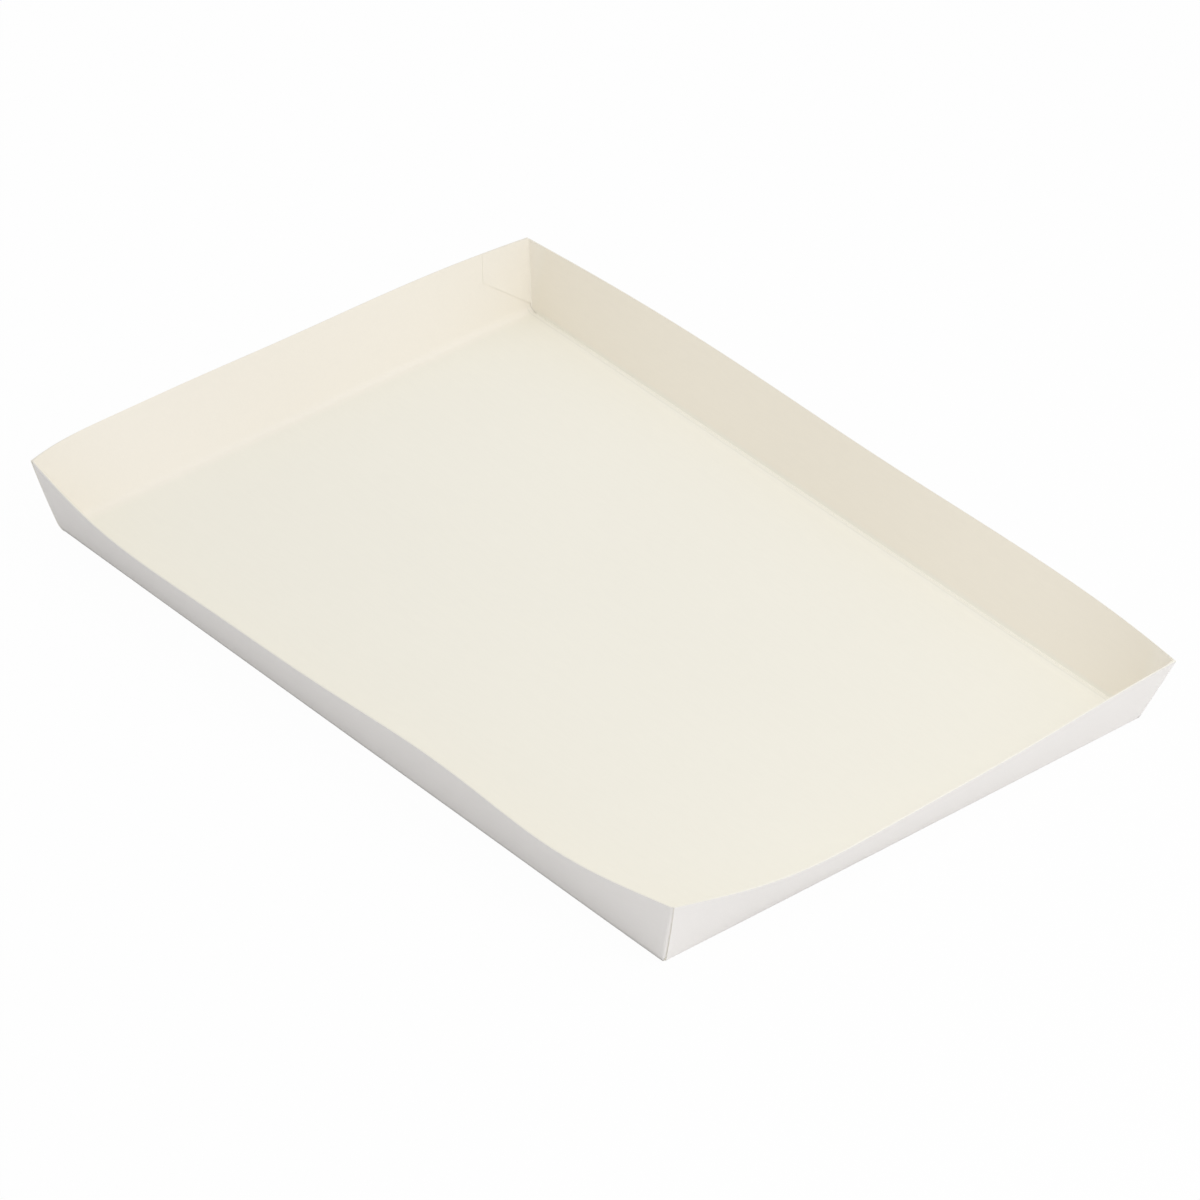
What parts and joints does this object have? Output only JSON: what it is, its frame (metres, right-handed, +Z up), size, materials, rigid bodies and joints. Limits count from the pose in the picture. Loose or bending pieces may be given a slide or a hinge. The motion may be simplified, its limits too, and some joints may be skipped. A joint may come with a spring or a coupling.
{
  "type": "cardboard tray",
  "caption": "Shallow oblong tray folded from thin board, with low walls that lean outwards and swell between their glued corner tabs",
  "frame": {"origin": "middle of the floor's underside, on the surface that the tray rests on", "axes": "X along the long side, Y along the short side, Z up out of the open top"},
  "size_m": [0.3875, 0.2703, 0.0305],
  "materials": {
    "board": "matt cream inside, greyer white outside"
  },
  "bodies": {
    "root": {"tray": "board"}
  },
  "joints": []
}
